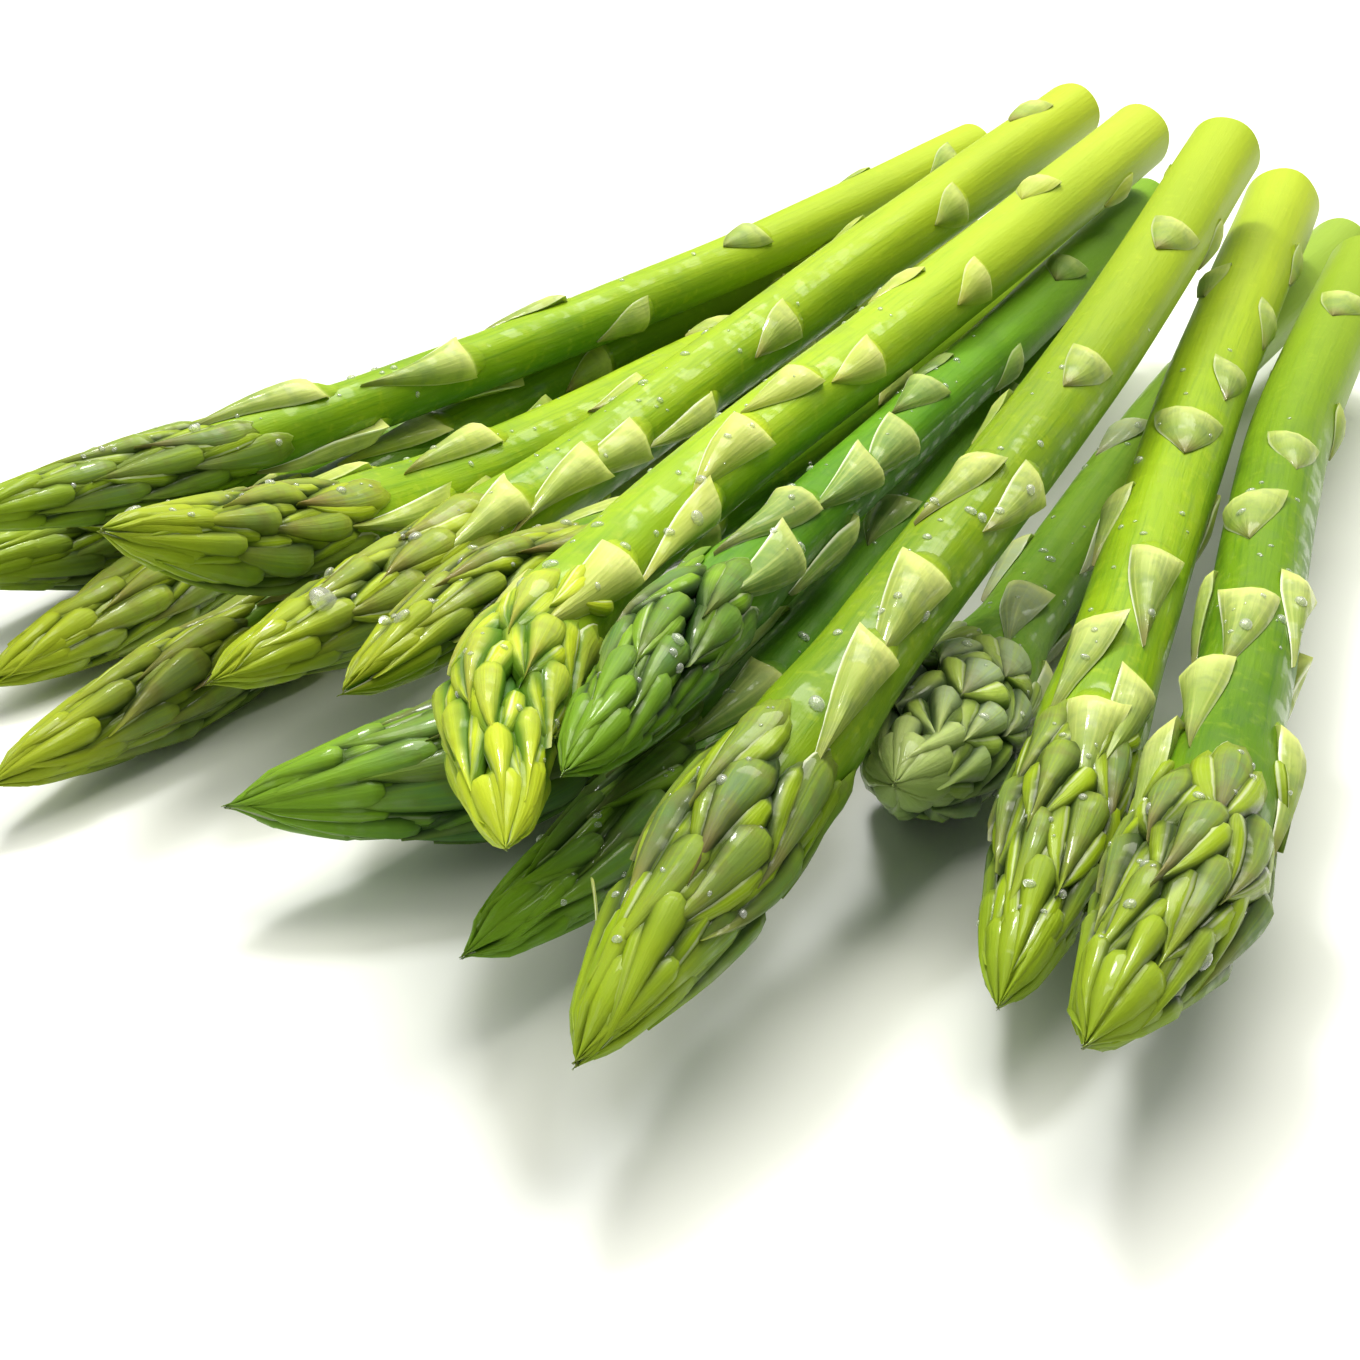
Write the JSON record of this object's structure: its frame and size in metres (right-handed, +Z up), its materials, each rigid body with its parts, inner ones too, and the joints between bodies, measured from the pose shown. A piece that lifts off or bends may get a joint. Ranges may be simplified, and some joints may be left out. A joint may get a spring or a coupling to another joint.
{
  "type": "asparagus bundle",
  "caption": "Loose bundle of green asparagus lying in a low fan-shaped heap, with pointed heads of overlapping scales at one end and flat cut stems at the other.",
  "frame": {"origin": "on the surface that the bundle lies on, under the middle of its outline seen from above", "axes": "+Z up; +Y along the bundle from the heads to the cut ends; +X to the right seen from the heads"},
  "size_m": [0.1784, 0.278, 0.0501],
  "materials": {
    "deep_green_skin": "deep green fresh plant skin, smooth and slightly waxy, with paler green scale leaves",
    "green_skin": "mid green fresh plant skin, smooth and slightly waxy, with pale cream-green scale leaves",
    "yellow_green_skin": "bright yellow-green fresh plant skin, smooth and slightly waxy, with pale cream-green scale leaves",
    "grey_green_skin": "grey-green fresh plant skin with a dull waxy bloom on the scales of the head",
    "water_drops": "clear water in small drops, as after rinsing, wet and glossy"
  },
  "bodies": {
    "root": {"spear_01": "green_skin", "spear_02": "deep_green_skin", "spear_03": "deep_green_skin", "spear_04": "green_skin", "spear_05": "green_skin", "spear_06": "grey_green_skin", "spear_07": "green_skin", "spear_08": "green_skin", "spear_09": "green_skin", "spear_10": "deep_green_skin", "spear_11": "yellow_green_skin", "spear_12": "green_skin", "spear_13": "yellow_green_skin", "spear_14": "yellow_green_skin", "spear_15": "yellow_green_skin"}
  },
  "joints": []
}
